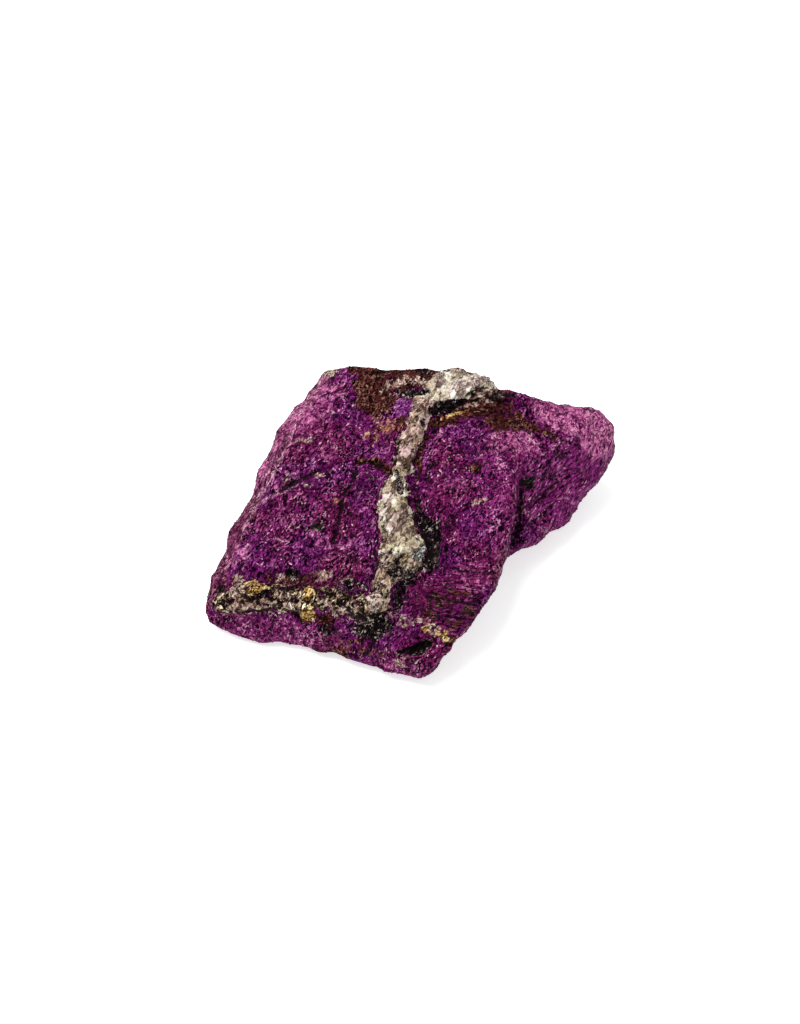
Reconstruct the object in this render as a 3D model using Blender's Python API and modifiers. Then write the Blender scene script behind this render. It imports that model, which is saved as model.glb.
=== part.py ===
"""A rough purpurite hand specimen: a broken violet stone with a pale vein standing proud of it.

The stone is one piece. A thick slab rises from its front edge to its back, and a smaller lobe stands
on its right, past a crevice. Both start as the convex hull of their corners, which are written the way
they show from the front: so far across, so far up, and at what height over the table.
Everything is in millimetres up to the last step, which scales the finished mesh to metres.
"""

import math

import bmesh
import bpy
import numpy as np
from mathutils import Vector, noise

MM = 0.001

# The view that the corners are read from: it looks along +Y and down at the stone.
VIEW_DROP = math.radians(48.0)
EYE_DISTANCE = 620.0
AIM = Vector((-1.6, 1.5, 8.0))
SIGHT = Vector((0.0, math.cos(VIEW_DROP), -math.sin(VIEW_DROP)))
SIGHT_UP = Vector((0.0, math.sin(VIEW_DROP), math.cos(VIEW_DROP)))
EYE = AIM - SIGHT * EYE_DISTANCE

# Corners seen from the front, as (across, up, height over the table).
SLAB_SHOULDER = (
    (-7.2, 18.1, 15.6),
    (-3.0, 18.1, 16.9),
    (1.4, 17.9, 17.6),
    (5.6, 17.0, 17.8),
    (9.8, 15.6, 17.6),
    (15.5, 7.6, 15.4),
    (14.7, -1.0, 12.6),
    (13.1, -6.9, 10.2),
    (10.5, -10.8, 8.8),
    (7.4, -15.4, 6.4),
    (3.6, -18.8, 4.2),
    (-8.4, -14.0, 5.6),
    (-18.8, -11.4, 5.0),
    (-20.2, -8.6, 6.8),
    (-15.0, 3.8, 11.4),
    (-11.9, 10.8, 14.2),
)
SLAB_LEFT = (
    (-9.3, 16.8, 12.6),
    (-10.3, 14.6, 12.6),
    (-13.9, 11.2, 11.6),
    (-17.4, 4.2, 8.8),
    (-20.2, -2.0, 6.8),
    (-23.1, -8.6, 4.4),
    (-24.3, -11.4, 2.6),
)
SLAB_FRONT = (
    (2.2, -20.6, 1.6),
    (-1.8, -19.2, 1.0),
    (-6.8, -17.6, 0.8),
    (-12.2, -16.3, 0.8),
    (-18.9, -15.5, 0.8),
    (-23.1, -13.5, 1.4),
)
LOBE_TOP = (
    (9.8, 14.8, 16.4),
    (12.4, 14.6, 17.0),
    (16.5, 14.0, 16.4),
    (20.1, 13.1, 15.2),
    (24.3, 12.6, 12.8),
    (26.2, 10.7, 10.6),
    (26.4, 8.4, 8.8),
    (26.3, 7.6, 7.6),
    (24.9, 6.9, 6.6),
    (20.9, 9.2, 14.0),
    (16.4, 6.6, 14.4),
)
LOBE_FRONT = (
    (22.9, 5.2, 5.4),
    (21.2, 0.9, 4.6),
    (20.0, -1.9, 3.8),
    (17.6, -3.4, 3.6),
    (14.8, -4.1, 4.2),
    (12.4, -5.4, 5.6),
)

# Corners that the front view doesn't show, as plain X, Y, Z.
SLAB_BACK = ((-13.0, 13.8, 7.0), (-6.0, 18.4, 9.0), (2.0, 19.6, 10.0), (10.0, 18.2, 9.0))
SLAB_FOOT = (
    (-20.4, -7.8),
    (-17.6, -10.8),
    (-9.0, -13.4),
    (-1.0, -16.4),
    (3.6, -13.8),
    (7.4, -6.8),
    (9.8, 0.8),
    (11.6, 9.8),
    (8.4, 15.4),
    (-4.0, 16.0),
    (-13.2, 9.8),
    (-17.8, 0.2),
)
LOBE_BACK = ((14.0, 19.0, 9.0), (21.4, 17.6, 7.4), (24.2, 13.2, 3.8))
LOBE_FOOT = ((12.0, 3.2), (17.0, 6.4), (20.2, 11.2), (17.4, 15.8), (10.0, 16.4))
FOOT_DEPTH = -1.0

# The pale vein, as (across, up, half its width). It falls from the back edge and bends left at the foot.
VEIN = (
    (12.0, 15.6, 0.8),
    (10.6, 15.5, 1.0),
    (8.8, 15.3, 1.2),
    (7.0, 15.0, 1.7),
    (5.2, 14.6, 1.8),
    (3.5, 13.7, 1.5),
    (2.5, 12.1, 1.3),
    (1.7, 10.0, 1.3),
    (0.8, 8.0, 1.2),
    (0.4, 5.9, 1.1),
    (0.2, 4.2, 0.8),
    (-0.6, 2.7, 1.7),
    (-0.7, 0.5, 2.0),
    (-0.2, -1.8, 2.2),
    (0.1, -4.1, 2.8),
    (0.3, -6.0, 2.9),
    (-0.9, -7.6, 1.9),
    (-2.3, -9.3, 1.2),
    (-2.7, -11.3, 1.5),
    (-3.2, -12.4, 1.5),
)
VEIN_BRANCH = (
    (-3.2, -12.2, 1.6),
    (-6.1, -11.1, 1.2),
    (-8.5, -10.4, 1.2),
    (-11.6, -10.8, 1.6),
    (-16.0, -10.4, 1.5),
    (-18.5, -10.6, 1.7),
    (-21.6, -11.1, 1.1),
)
VEIN_HEIGHT = 1.35
VEIN_EDGE = 0.28
VEIN_LUMP = 0.45
VEIN_LUMP_SIZE = 1.6

# Grooves, as (across, up, half width), and how deep each goes.
CREVICE = (
    (15.2, 5.8, 0.4),
    (14.8, 2.8, 0.6),
    (14.6, -0.8, 0.6),
    (14.3, -2.4, 0.5),
    (13.9, -3.8, 0.4),
)
CREVICE_DEPTH = 1.2
VEIN_SHADOW = (
    (1.9, 5.4, 0.5),
    (2.4, 0.6, 0.6),
    (3.6, -3.4, 1.2),
    (4.8, -6.2, 1.3),
    (1.6, -8.6, 0.9),
    (0.2, -11.4, 0.8),
)
VEIN_SHADOW_DEPTH = 0.55
UNDER_BRANCH = ((-22.0, -12.6, 0.5), (-15.5, -12.4, 0.5), (-9.4, -13.6, 0.6), (-4.6, -14.8, 1.3))
UNDER_BRANCH_DEPTH = 0.5
FRONT_PIT = ((0.0, -17.4, 0.5), (2.0, -16.9, 0.7), (3.8, -16.1, 0.5))
FRONT_PIT_DEPTH = 1.0
LEFT_CRACK = ((-15.1, 2.1, 0.3), (-12.0, 3.6, 0.4), (-8.6, 5.4, 0.3))
LEFT_CRACK_DEPTH = 0.5
MIDDLE_CRACK = ((-1.0, 4.2, 0.3), (-3.0, 5.6, 0.4), (-5.2, 5.9, 0.4), (-7.0, 2.7, 0.4), (-7.3, -4.0, 0.3))
MIDDLE_CRACK_DEPTH = 0.4

# Hollows, as (across, up, radius across, radius up, depth). A negative depth is a swelling.
HOLLOWS = (
    (-1.8, 13.6, 4.2, 2.4, 0.8),
    (7.8, 11.6, 3.6, 1.6, 0.6),
    (15.0, 11.6, 3.8, 1.2, 0.6),
    (-17.2, -8.6, 3.4, 1.6, 0.5),
    (6.0, 3.0, 6.0, 6.0, -0.7),
    (-8.4, 3.4, 5.4, 7.4, -0.8),
    (-11.8, -5.0, 6.6, 3.0, -0.5),
    (22.6, 7.4, 3.0, 3.6, -0.6),
    (17.6, 1.0, 1.6, 4.0, 0.5),
    (-9.2, -17.2, 6.0, 2.4, 1.0),
    (6.0, 17.2, 0.8, 0.8, -0.2),
    (8.8, 16.4, 1.8, 1.0, 1.3),
    (11.4, 15.9, 0.9, 0.8, -0.3),
)

# The broken surface: wide lumps, small knots, and ledges along the bedding.
LUMP_SIZE, LUMP_HEIGHT = 9.0, 0.75
KNOT_SIZE, KNOT_HEIGHT = 2.6, 0.42
BEDDING = Vector((0.16, 0.62, 0.77)).normalized()
LEDGE_SPACING, LEDGE_HEIGHT = 2.9, 0.42
LEDGE_WAVE, LEDGE_WAVE_SIZE = 0.9, 6.0
LEDGE_DROP_START = 0.8
LEDGE_PATCH_SIZE, LEDGE_PATCH_RANGE = 7.0, (-0.25, 0.35)

# How far grooves and the vein stray from their routes, and how a groove's wall rises, in half widths.
STRAY, STRAY_SIZE = 0.35, 2.4
GROOVE_WALL = (0.4, 1.5)

# One seed for each layer of noise, and how the layers are spread and weighted.
LUMP_SEED, KNOT_SEED, WAVE_SEED, PATCH_SEED, VEIN_SEED, STRAY_SEEDS = 1, 2, 3, 5, 7, (11, 12)
SEED_STRIDE = Vector((17.3, 5.1, 9.7))
NOISE_ROUGHNESS, NOISE_STEP = 0.9, 2.1

TABLE_BLOCK = 200.0
CLAY_GRID = 0.5
FINE_GRID = 0.38
EDGE_ROUNDING = 4
TRIANGLES = 11300

PURPLE = (0.17, 0.022, 0.16, 1.0)


def clear_scene():
    """Removes whatever the file starts with."""
    for obj in list(bpy.data.objects):
        bpy.data.objects.remove(obj, do_unlink=True)


def from_sight(across, up, height):
    """The point at this height that shows so far across and up from the aim."""
    towards = AIM + Vector((across, 0.0, 0.0)) + SIGHT_UP * up - EYE
    return EYE + towards * ((height - EYE.z) / towards.z)


def in_sight(points):
    """Where each point of an N x 3 array shows, as N x 2: across and up from the aim."""
    rays = points - np.array(EYE)
    depth = rays @ np.array(SIGHT)
    return np.stack([rays[:, 0], rays @ np.array(SIGHT_UP)], axis=1) * (EYE_DISTANCE / depth)[:, None]


def hull_block(name, corners, collection):
    """A closed block: the convex hull of its corners."""
    mesh = bpy.data.meshes.new(name)
    shape = bmesh.new()
    for corner in corners:
        shape.verts.new(corner)
    hull = bmesh.ops.convex_hull(shape, input=shape.verts)
    inside = [v for v in hull["geom_interior"] if isinstance(v, bmesh.types.BMVert)]
    bmesh.ops.delete(shape, geom=inside, context="VERTS")
    bmesh.ops.recalc_face_normals(shape, faces=shape.faces)
    shape.to_mesh(mesh)
    shape.free()
    block = bpy.data.objects.new(name, mesh)
    collection.objects.link(block)
    return block


def evaluated_mesh(obj):
    """The mesh of the object with its modifiers applied."""
    graph = bpy.context.evaluated_depsgraph_get()
    return bpy.data.meshes.new_from_object(obj.evaluated_get(graph))


def rough_blocks(parts, guides):
    """The slab with the lobe joined on, as one evenly gridded lump with softened edges."""
    slab_corners = [from_sight(*c) for c in SLAB_SHOULDER + SLAB_LEFT + SLAB_FRONT]
    slab_corners += [Vector(c) for c in SLAB_BACK]
    slab_corners += [Vector((x, y, FOOT_DEPTH)) for x, y in SLAB_FOOT]
    lobe_corners = [from_sight(*c) for c in LOBE_TOP + LOBE_FRONT]
    lobe_corners += [Vector(c) for c in LOBE_BACK]
    lobe_corners += [Vector((x, y, FOOT_DEPTH)) for x, y in LOBE_FOOT]
    stone = hull_block("purpurite_stone", slab_corners, parts)
    lobe = hull_block("lobe_guide", lobe_corners, guides)
    lobe.hide_render = True
    lobe.display_type = "WIRE"

    join = stone.modifiers.new("join lobe", "BOOLEAN")
    join.operation = "UNION"
    join.object = lobe
    grid = stone.modifiers.new("even grid", "REMESH")
    grid.mode = "VOXEL"
    grid.voxel_size = CLAY_GRID
    soften = stone.modifiers.new("soften edges", "SMOOTH")
    soften.iterations = EDGE_ROUNDING
    stone.data = evaluated_mesh(stone)
    stone.modifiers.clear()
    bpy.data.objects.remove(lobe, do_unlink=True)
    return stone


def route_distance(seen, route):
    """How far each seen point lies from a route, counted in the route's own half widths there."""
    nearest = np.full(len(seen), np.inf)
    for (ax, ay, aw), (bx, by, bw) in zip(route, route[1:]):
        start, step = np.array((ax, ay)), np.array((bx - ax, by - ay))
        share = np.clip((seen - start) @ step / (step @ step), 0.0, 1.0)
        gap = np.linalg.norm(seen - start - share[:, None] * step, axis=1)
        nearest = np.minimum(nearest, gap / (aw + (bw - aw) * share))
    return nearest


def smooth_step(low, high, values):
    """0 below low, 1 above high, and an even S between."""
    t = np.clip((values - low) / (high - low), 0.0, 1.0)
    return t * t * (3.0 - 2.0 * t)


def fractal(points, size, seed, octaves=4):
    """Layered noise of about -1 to 1, with its widest lumps of the given size."""
    offset = SEED_STRIDE * seed
    return np.array(
        [noise.fractal(Vector(p) / size + offset, NOISE_ROUGHNESS, NOISE_STEP, octaves) for p in points]
    )


def bedding_ledges(points):
    """Steps that follow the bedding: a slow rise and a sharp drop, in patches."""
    wave = fractal(points, LEDGE_WAVE_SIZE, WAVE_SEED, octaves=3)
    level = points @ np.array(BEDDING) / LEDGE_SPACING + wave * LEDGE_WAVE
    rise = level - np.floor(level)
    step = rise - smooth_step(LEDGE_DROP_START, 1.0, rise)
    patch = smooth_step(*LEDGE_PATCH_RANGE, fractal(points, LEDGE_PATCH_SIZE, PATCH_SEED, octaves=2))
    return LEDGE_HEIGHT * step * patch


def surface_relief(points):
    """How far each point of the stone's surface stands out along its normal."""
    seen = in_sight(points)
    stray = np.stack([fractal(points, STRAY_SIZE, seed, octaves=2) for seed in STRAY_SEEDS], axis=1)
    wavy = seen + STRAY * stray

    out = LUMP_HEIGHT * fractal(points, LUMP_SIZE, LUMP_SEED)
    out += KNOT_HEIGHT * fractal(points, KNOT_SIZE, KNOT_SEED, octaves=3)
    out += bedding_ledges(points)
    for across, up, wide, tall, depth in HOLLOWS:
        spread = ((seen[:, 0] - across) / wide) ** 2 + ((seen[:, 1] - up) / tall) ** 2
        out -= depth * np.exp(-spread)
    for route, depth in (
        (CREVICE, CREVICE_DEPTH),
        (VEIN_SHADOW, VEIN_SHADOW_DEPTH),
        (UNDER_BRANCH, UNDER_BRANCH_DEPTH),
        (FRONT_PIT, FRONT_PIT_DEPTH),
        (LEFT_CRACK, LEFT_CRACK_DEPTH),
        (MIDDLE_CRACK, MIDDLE_CRACK_DEPTH),
    ):
        out -= depth * (1.0 - smooth_step(*GROOVE_WALL, route_distance(wavy, route)))
    for route in (VEIN, VEIN_BRANCH):
        raised = 1.0 - smooth_step(1.0 - VEIN_EDGE, 1.0 + VEIN_EDGE, route_distance(wavy, route))
        lumps = fractal(points, VEIN_LUMP_SIZE, VEIN_SEED, octaves=2)
        out += raised * (VEIN_HEIGHT + VEIN_LUMP * lumps)
    return out


def sculpt(stone):
    """Moves every point of the gridded lump along its normal by the surface relief, and grids it anew.

    The new grid takes out the places where neighbouring walls of a groove have crossed.
    """
    mesh = stone.data
    points = np.array([v.co for v in mesh.vertices])
    normals = np.array([n.vector for n in mesh.vertex_normals])
    points += normals * surface_relief(points)[:, None]
    mesh.vertices.foreach_set("co", points.astype(np.float32).ravel())
    mesh.update()
    grid = stone.modifiers.new("new grid", "REMESH")
    grid.mode = "VOXEL"
    grid.voxel_size = FINE_GRID
    stone.data = evaluated_mesh(stone)
    stone.modifiers.clear()


def rest_flat(stone, guides):
    """Cuts the underside off flat at the table, with a block whose top is the table."""
    bpy.ops.mesh.primitive_cube_add(size=TABLE_BLOCK, location=(0.0, 0.0, -TABLE_BLOCK / 2))
    block = bpy.context.object
    block.name = "table_guide"
    block.hide_render = True
    block.display_type = "WIRE"
    for collection in list(block.users_collection):
        collection.objects.unlink(block)
    guides.objects.link(block)

    cut = stone.modifiers.new("flat underside", "BOOLEAN")
    cut.operation = "DIFFERENCE"
    cut.object = block
    stone.data = evaluated_mesh(stone)
    stone.modifiers.clear()
    bpy.data.objects.remove(block, do_unlink=True)


def thin_out(stone):
    """Merges small faces until the stone has the wanted number, most of them where it bends."""
    thin = stone.modifiers.new("thin out", "DECIMATE")
    thin.ratio = TRIANGLES / sum(len(p.vertices) - 2 for p in stone.data.polygons)
    thin.use_collapse_triangulate = True
    stone.data = evaluated_mesh(stone)
    stone.modifiers.clear()


def stand_on_origin(stone):
    """Puts the middle of the stone's box over the origin, its underside on z = 0, and scales to metres."""
    points = np.array([v.co for v in stone.data.vertices])
    low, high = points.min(axis=0), points.max(axis=0)
    middle = (low + high) / 2
    points -= (middle[0], middle[1], low[2])
    stone.data.vertices.foreach_set("co", (points * MM).astype(np.float32).ravel())
    stone.data.update()


def stone_material():
    """Dull violet with a slight silky shine."""
    material = bpy.data.materials.new("purpurite")
    material.use_nodes = True
    shader = material.node_tree.nodes["Principled BSDF"]
    shader.inputs["Base Color"].default_value = PURPLE
    shader.inputs["Roughness"].default_value = 0.6
    shader.inputs["Metallic"].default_value = 0.0
    material.diffuse_color = PURPLE
    return material


def main():
    clear_scene()
    parts = bpy.data.collections.new("purpurite specimen")
    guides = bpy.data.collections.new("guides")
    for collection in (parts, guides):
        bpy.context.scene.collection.children.link(collection)
    stone = rough_blocks(parts, guides)
    sculpt(stone)
    thin_out(stone)
    rest_flat(stone, guides)
    stand_on_origin(stone)
    stone.data.materials.clear()
    stone.data.materials.append(stone_material())
    stone.data.shade_smooth()


main()
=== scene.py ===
"""Dresses the purpurite specimen.

The stone gets a fine broken surface with its stains, cracks and dusty rims. Small cleavage blocks stand on
the violet part, and mineral grains on the pale vein. It lies on a pale floor in soft light.
"""

import logging
import math
from dataclasses import dataclass
from enum import Enum

import bmesh
import bpy
import numpy as np
from bpy.types import Material, Mesh, Node, NodeOutputs, NodeSocket as Socket, NodeTree, Object
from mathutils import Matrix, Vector, noise


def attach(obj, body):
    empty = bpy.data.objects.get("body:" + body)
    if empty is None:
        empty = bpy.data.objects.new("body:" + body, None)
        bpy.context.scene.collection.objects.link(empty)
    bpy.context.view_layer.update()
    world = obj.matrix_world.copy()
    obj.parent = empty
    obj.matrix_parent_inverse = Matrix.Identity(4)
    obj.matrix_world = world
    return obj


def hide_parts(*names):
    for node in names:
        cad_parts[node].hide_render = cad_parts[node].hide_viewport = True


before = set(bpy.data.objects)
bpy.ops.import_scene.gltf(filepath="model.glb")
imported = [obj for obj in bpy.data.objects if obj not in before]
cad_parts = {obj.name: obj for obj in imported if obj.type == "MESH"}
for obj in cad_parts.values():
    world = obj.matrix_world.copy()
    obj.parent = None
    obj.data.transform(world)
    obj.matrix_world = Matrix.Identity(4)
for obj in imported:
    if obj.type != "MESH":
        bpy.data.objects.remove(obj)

MM = 0.001
STONE_NODE = "purpurite_stone"
Pair = tuple[float, float]
Triple = tuple[float, float, float]
Route = tuple[Triple, ...]
Colour = tuple[float, float, float, float]
GRAIN = "grain"
NOISE_SHIFT = (13.1, 7.7, 3.9)
NOISE_FALL = 0.9
NOISE_GAP = 2.1
WHITE = (1.0, 1.0, 1.0, 1.0)


class Tone(Enum):
    """What colours a place. Each value names the attribute with its strength and, for a mineral, its paint."""

    VEIN = "vein"
    CRUST = "crust"
    BROWN = "brown"
    BLACK = "black"
    BEIGE = "beige"
    OCHRE = "ochre"
    RUST = "rust"
    DUST = "dust"
    BRIGHT = "bright"
    QUARTZ = "quartz"
    BLUSH = "blush"
    PALE = "pale"
    VIVID = "vivid"
    WORN = "worn"
    STREAK = "streak"
    SEAM = "seam"
    RIM = "rim"


@dataclass(frozen=True)
class Patch:
    """An oval of one tone, in millimetres across and up from the picture's middle, tilted in degrees."""

    tone: Tone
    across: float
    up: float
    wide: float
    tall: float
    strength: float = 1.0
    tilt: float = 0.0


@dataclass(frozen=True)
class Band:
    """A winding place of one tone: points of (across, up, half width), in millimetres."""

    tone: Tone
    route: Route
    strength: float = 1.0


@dataclass(frozen=True)
class Line:
    """A crisp thin line, dark where it is a seam and pale where it is a rim. Its route is as a band's."""

    tone: Tone
    route: Route


def ovals(tone: Tone, *rows: tuple[float, ...]) -> tuple[Patch, ...]:
    """Patches of one tone, from rows of across, up, wide, tall and, where needed, strength and tilt."""
    return tuple(Patch(tone, *row) for row in rows)


def bands(tone: Tone, strength: float, *routes: Route) -> tuple[Band, ...]:
    """Bands of one tone and one strength."""
    return tuple(Band(tone, route, strength) for route in routes)


def lines(tone: Tone, *routes: Route) -> tuple[Line, ...]:
    """Thin lines of one tone."""
    return tuple(Line(tone, route) for route in routes)


VEIN = Band(Tone.VEIN, (
    (12.0, 15.8, 0.8), (10.6, 15.8, 0.9), (8.8, 15.8, 1.2), (7.0, 15.5, 1.9), (5.2, 15.0, 2.0), (3.5, 13.8, 1.6),
    (2.5, 12.1, 1.3), (1.7, 10.0, 1.3), (0.8, 8.0, 1.2), (0.4, 5.9, 1.1), (0.2, 4.2, 0.8), (-0.6, 2.7, 1.7),
    (-0.7, 0.5, 2.0), (-0.2, -1.8, 2.2), (0.1, -4.1, 2.7), (0.4, -5.6, 2.7), (-0.7, -6.6, 1.9), (-2.1, -7.6, 1.0),
    (-2.5, -9.3, 1.1), (-2.7, -11.3, 1.4), (-3.0, -12.4, 1.2)))
VEIN_BRANCH = Band(Tone.CRUST, (
    (-3.2, -12.2, 1.6), (-6.1, -11.1, 1.2), (-8.5, -10.4, 1.2), (-11.6, -10.8, 1.6), (-16.0, -10.4, 1.5),
    (-18.5, -10.6, 1.7), (-21.6, -11.1, 1.1)))
LINES = (
    *lines(Tone.SEAM,
        ((-15.0, 2.4, 0.12), (-14.1, 3.0, 0.24), (-12.5, 3.8, 0.22), (-11.0, 4.6, 0.2), (-9.2, 5.3, 0.1)),
        ((-5.4, 5.1, 0.2), (-6.6, 2.4, 0.14), (-7.2, 1.1, 0.24), (-7.4, -1.0, 0.2), (-7.6, -2.4, 0.14),
         (-8.2, -3.7, 0.2)),
        ((-5.3, 5.9, 0.14), (-3.6, 6.0, 0.18), (-1.8, 5.4, 0.14), (-0.9, 4.7, 0.16)),
        ((0.0, -17.1, 0.14), (1.5, -16.8, 0.42), (3.7, -16.1, 0.2)),
        ((1.0, -17.7, 0.14), (1.2, -18.6, 0.1), (1.0, -19.5, 0.08)),
        ((-2.0, -14.8, 0.1), (-3.6, -16.4, 0.15), (-4.4, -18.0, 0.08)),
        ((-19.8, -12.3, 0.12), (-16.8, -12.1, 0.14), (-14.6, -11.7, 0.1), (-12.7, -12.3, 0.2), (-11.4, -13.9, 0.14)),
        ((-20.2, -9.0, 0.1), (-18.5, -10.9, 0.16), (-15.6, -11.4, 0.12), (-13.0, -10.6, 0.1)),
        ((-11.9, -8.8, 0.1), (-9.8, -9.6, 0.14), (-7.4, -10.3, 0.12), (-4.6, -9.6, 0.1)),
        ((-7.0, -11.0, 0.1), (-5.4, -12.8, 0.2), (-3.2, -13.0, 0.2), (-1.0, -11.8, 0.12)),
        ((8.0, 14.1, 0.12), (9.5, 15.0, 0.2), (10.9, 15.4, 0.14)),
        ((15.1, 5.4, 0.1), (14.7, 2.8, 0.22), (14.6, -0.8, 0.16), (14.3, -2.4, 0.18), (13.4, -4.8, 0.22)),
        ((3.4, 10.2, 0.0), (2.2, 7.4, 0.08), (1.7, 5.0, 0.08), (2.3, 1.4, 0.1), (3.0, -1.6, 0.16)),
        ((1.0, 1.8, 0.08), (1.9, -0.6, 0.14), (3.1, -3.0, 0.2), (3.9, -5.1, 0.2), (2.4, -7.2, 0.14)),
        ((-2.9, 1.6, 0.06), (-2.8, -2.3, 0.1), (-3.3, -4.8, 0.12), (-2.8, -6.2, 0.1), (-3.5, -8.2, 0.1)),
        ((0.1, 9.6, 0.06), (-0.5, 7.4, 0.12), (-0.7, 5.8, 0.14)),
        ((9.6, -1.2, 0.08), (11.6, -1.5, 0.12), (13.2, -1.3, 0.06)),
        ((5.4, -6.6, 0.1), (8.2, -7.2, 0.14), (11.8, -7.4, 0.1)),
        ((3.0, -10.2, 0.12), (7.0, -11.0, 0.16), (10.6, -11.6, 0.1)),
        ((2.6, -12.4, 0.1), (5.4, -12.8, 0.14), (8.8, -13.2, 0.08)),
        ((15.6, -1.6, 0.08), (17.6, -0.2, 0.12), (19.4, 1.6, 0.06)),
        ((16.4, 0.8, 0.08), (18.6, 3.2, 0.12), (20.4, 4.2, 0.06)),
        ((16.2, 4.8, 0.12), (18.4, 6.2, 0.1), (20.8, 7.4, 0.06))),
    *lines(Tone.RIM,
        ((-9.2, 16.7, 0.16), (-12.6, 11.2, 0.06), (-13.6, 8.4, 0.2), (-15.0, 5.6, 0.14), (-17.6, 1.0, 0.2),
         (-19.8, -4.2, 0.06)),
        ((-13.8, 8.3, 0.12), (-12.2, 8.8, 0.16), (-10.4, 8.9, 0.08)),
        ((-18.2, 0.4, 0.06), (-17.3, 1.0, 0.2), (-15.4, 2.1, 0.16), (-12.4, 3.3, 0.1)),
        ((-16.1, -3.3, 0.14), (-15.0, -3.4, 0.12), (-13.8, -3.7, 0.12)),
        ((15.0, 4.9, 0.06), (17.9, 7.4, 0.12), (20.5, 8.9, 0.06))),
)
COARSE_TONES = (Tone.RUST, Tone.CRUST)
BACK_EDGE = (
    *ovals(Tone.BROWN,
        (-3.2, 14.4, 2.6, 3.2, 1.0, 20.0), (1.2, 16.0, 3.4, 1.5, 0.9), (0.4, 10.9, 1.0, 0.9, 0.8)),
    *bands(Tone.BROWN, 1.0,
        ((-5.9, 17.4, 0.5), (-3.0, 17.5, 0.7), (0.0, 17.3, 0.8), (3.7, 17.3, 0.6), (5.1, 16.8, 0.5))),
    *bands(Tone.BLACK, 1.0, ((-0.2, 17.6, 0.25), (1.5, 17.6, 0.4), (3.3, 17.3, 0.4))),
    *bands(Tone.BEIGE, 0.6, ((-2.1, 15.0, 0.5), (-0.6, 15.7, 0.7), (1.5, 16.1, 0.6), (3.7, 15.6, 0.6))),
    *bands(Tone.BLACK, 0.9, ((0.0, 14.5, 0.4), (1.5, 14.4, 0.6), (3.2, 14.8, 0.4))),
    *ovals(Tone.BRIGHT, (0.2, 12.8, 1.5, 1.2)),
    *ovals(Tone.RUST, (-1.6, 10.5, 1.8, 0.9, 0.62), (-3.0, 8.9, 1.2, 1.0, 0.4)),
    *ovals(Tone.BEIGE, (-8.4, 17.0, 1.1, 0.8, 0.8, 30.0)),
    *bands(Tone.PALE, 0.4, ((3.6, 14.4, 1.4), (5.0, 15.0, 2.0))),
    *bands(Tone.PALE, 1.0, ((6.6, 15.4, 2.2), (9.0, 16.0, 2.0), (12.4, 15.8, 1.6))),
    *bands(Tone.PALE, 0.3, ((-0.6, 2.2, 1.6), (-0.4, -1.6, 1.8), (0.2, -4.2, 1.4))),
    *bands(Tone.BLUSH, 1.0, ((3.0, 12.4, 1.6), (1.4, 9.0, 1.8), (0.6, 6.4, 1.2))),
)
CREST_FOOT = (
    *bands(Tone.BLACK, 1.0, ((4.1, 12.2, 0.5), (5.0, 12.8, 0.9), (6.3, 13.1, 0.9), (7.4, 13.4, 0.5))),
    *bands(Tone.BROWN, 1.0,
        ((7.6, 13.8, 0.5), (9.1, 14.6, 0.6), (11.0, 15.2, 0.6)),
        ((4.0, 10.7, 0.5), (6.1, 11.3, 0.7), (8.0, 12.0, 0.6))),
    *ovals(Tone.BROWN, (9.3, 13.2, 4.6, 1.9, 1.0, 8.0), (13.2, 11.0, 3.0, 1.4, 0.8)),
    *ovals(Tone.STREAK, (9.6, 13.0, 4.6, 2.2, 1.0, 8.0)),
    *bands(Tone.BEIGE, 0.85, ((7.4, 12.6, 0.3), (9.4, 13.2, 0.5), (11.6, 13.9, 0.4))),
    *bands(Tone.BEIGE, 0.75, ((8.4, 13.9, 0.2), (10.0, 14.4, 0.4), (12.0, 14.9, 0.3))),
    *bands(Tone.OCHRE, 0.6, ((5.0, 11.5, 0.2), (6.8, 11.8, 0.3), (8.6, 12.2, 0.2))),
    *bands(Tone.BLACK, 0.9, ((11.0, 13.9, 0.3), (12.4, 14.1, 0.4), (13.9, 14.3, 0.25))),
    *bands(Tone.BROWN, 0.8, ((14.6, 10.6, 0.5), (17.1, 9.8, 0.4), (18.8, 9.0, 0.3))),
)
VEIN_SIDES = (
    *ovals(Tone.BLACK,
        (-0.1, 2.6, 0.55, 0.45), (2.1, 11.6, 1.5, 2.0, 0.34), (0.8, 7.6, 1.3, 2.4, 0.26),
        (0.1, 3.9, 1.1, 1.8, 0.5), (-0.9, -5.8, 2.4, 1.4, 0.50), (-2.6, -10.0, 1.6, 1.8, 0.5),
        (-0.4, -7.2, 1.3, 0.7, 0.9, 20.0)),
    *bands(Tone.BLUSH, 0.8, ((-2.1, -8.0, 1.0), (-2.6, -10.0, 1.2), (-3.0, -12.6, 1.4))),
    *ovals(Tone.OCHRE, (0.1, 5.1, 0.6, 1.2, 0.55)),
    *ovals(Tone.QUARTZ, (2.3, -5.3, 0.8, 0.8), (2.8, -4.4, 0.6, 0.8, 0.9)),
    *bands(Tone.BLACK, 1.0,
        ((2.2, 1.5, 0.25), (2.8, -1.2, 0.5), (3.9, -2.2, 1.1), (4.2, -4.9, 0.8), (3.9, -6.4, 0.9))),
    *bands(Tone.BLACK, 0.66, ((1.7, -7.5, 0.7), (0.3, -8.9, 0.9), (-0.2, -10.9, 0.9))),
    *bands(Tone.BROWN, 0.8,
        ((3.4, 9.4, 0.3), (2.4, 7.0, 0.4), (2.0, 4.4, 0.4)), ((-5.3, 6.2, 0.3), (-3.4, 6.2, 0.5), (-1.4, 5.2, 0.7))),
)
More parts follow.
